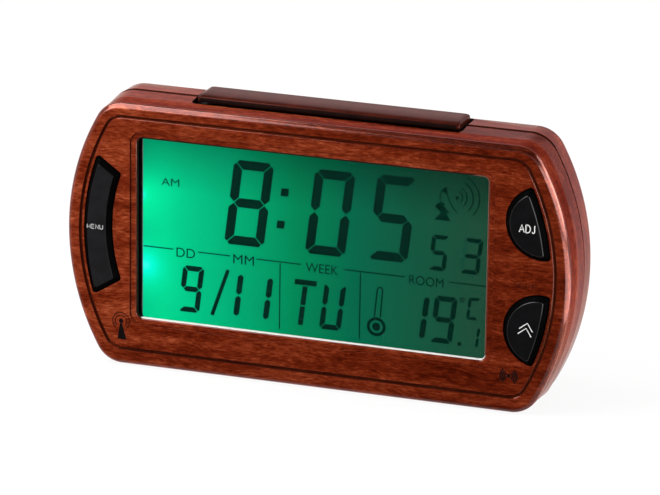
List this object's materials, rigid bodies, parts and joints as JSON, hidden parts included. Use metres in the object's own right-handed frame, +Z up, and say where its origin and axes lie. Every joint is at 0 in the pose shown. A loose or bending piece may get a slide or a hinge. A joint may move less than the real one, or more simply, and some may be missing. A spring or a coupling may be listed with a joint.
{
  "type": "radio-controlled alarm clock",
  "caption": "Desk alarm clock with a bulging-sided wood-look case, back-lit digital display, snooze bar on top, front buttons and a battery door behind.",
  "frame": {"origin": "under the middle of the whole clock, on the table", "axes": "+X to the viewer's right, +Y from the front face to the back, +Z up"},
  "size_m": [0.1486, 0.0396, 0.0792],
  "materials": {
    "wood_print": "glossy printed wood grain",
    "dark_gloss": "high gloss",
    "key_black": "satin",
    "pale_rubber": "satin",
    "clear_lens": "clear",
    "lcd_glass": "clear",
    "green_guide": "glowing green",
    "white_sheet": "matte",
    "black_plastic": "matte",
    "black_rubber": "matte",
    "circuit_board": "satin solder mask",
    "epoxy": "glossy",
    "steel": "plated",
    "cell_sleeve": "printed sleeve",
    "ferrite": "matte",
    "copper_wire": "enamelled copper",
    "brass_disc": "plain",
    "wire_black": "satin",
    "wire_red": "satin"
  },
  "bodies": {
    "case": {"front_case": "wood_print", "rear_case": "wood_print", "key_dome_mode": "pale_rubber", "key_dome_set": "pale_rubber", "key_dome_up": "pale_rubber", "display_lens": "clear_lens", "lcd_front_glass": "lcd_glass", "lcd_rear_glass": "lcd_glass", "light_guide": "green_guide", "led_upper": "green_guide", "led_lower": "green_guide", "reflector_sheet": "white_sheet", "lcd_frame": "black_plastic", "snooze_switch": "black_plastic", "zebra_strip": "black_rubber", "foot_1": "black_rubber", "foot_2": "black_rubber", "foot_3": "black_rubber", "foot_4": "black_rubber", "main_board": "circuit_board", "receiver_board": "circuit_board", "controller_blob": "epoxy", "temperature_sensor": "epoxy", "quartz_crystal": "steel", "board_screw_1": "steel", "board_screw_2": "steel", "board_screw_3": "steel", "board_screw_4": "steel", "case_screw_1": "steel", "case_screw_2": "steel", "case_screw_3": "steel", "case_screw_4": "steel", "contact_spring_minus": "steel", "contact_plate_plus": "steel", "contact_link": "steel", "cell_upper": "cell_sleeve", "cell_lower": "cell_sleeve", "ferrite_rod": "ferrite", "antenna_coil": "copper_wire", "antenna_lead": "copper_wire", "buzzer": "brass_disc", "buzzer_lead": "wire_black", "battery_lead_minus": "wire_black", "battery_lead_plus": "wire_red"},
    "mode_button": {"mode_button": "key_black"},
    "set_button": {"set_button": "key_black"},
    "up_button": {"up_button": "key_black"},
    "snooze_bar": {"snooze_bar": "dark_gloss"},
    "battery_door": {"battery_door": "wood_print"}
  },
  "joints": [
    {"name": "mode_press", "type": "slide", "parent": "case", "child": "mode_button", "axis": [0, 1, 0], "range_m": [0, 0.0008], "stiffness_N_per_m": 500, "springref_m": -0.0008},
    {"name": "set_press", "type": "slide", "parent": "case", "child": "set_button", "axis": [0, 1, 0], "range_m": [0, 0.0008], "stiffness_N_per_m": 500, "springref_m": -0.0008},
    {"name": "up_press", "type": "slide", "parent": "case", "child": "up_button", "axis": [0, 1, 0], "range_m": [0, 0.0008], "stiffness_N_per_m": 500, "springref_m": -0.0008},
    {"name": "snooze_press", "type": "slide", "parent": "case", "child": "snooze_bar", "axis": [0, 0, -1], "range_m": [0, 0.0015], "stiffness_N_per_m": 500, "springref_m": -0.001},
    {"name": "battery_door_open", "type": "hinge", "parent": "case", "child": "battery_door", "pos_m": [0, 0.01975, 0.0096], "axis": [-1, 0, 0], "range_deg": [0, 45]}
  ]
}
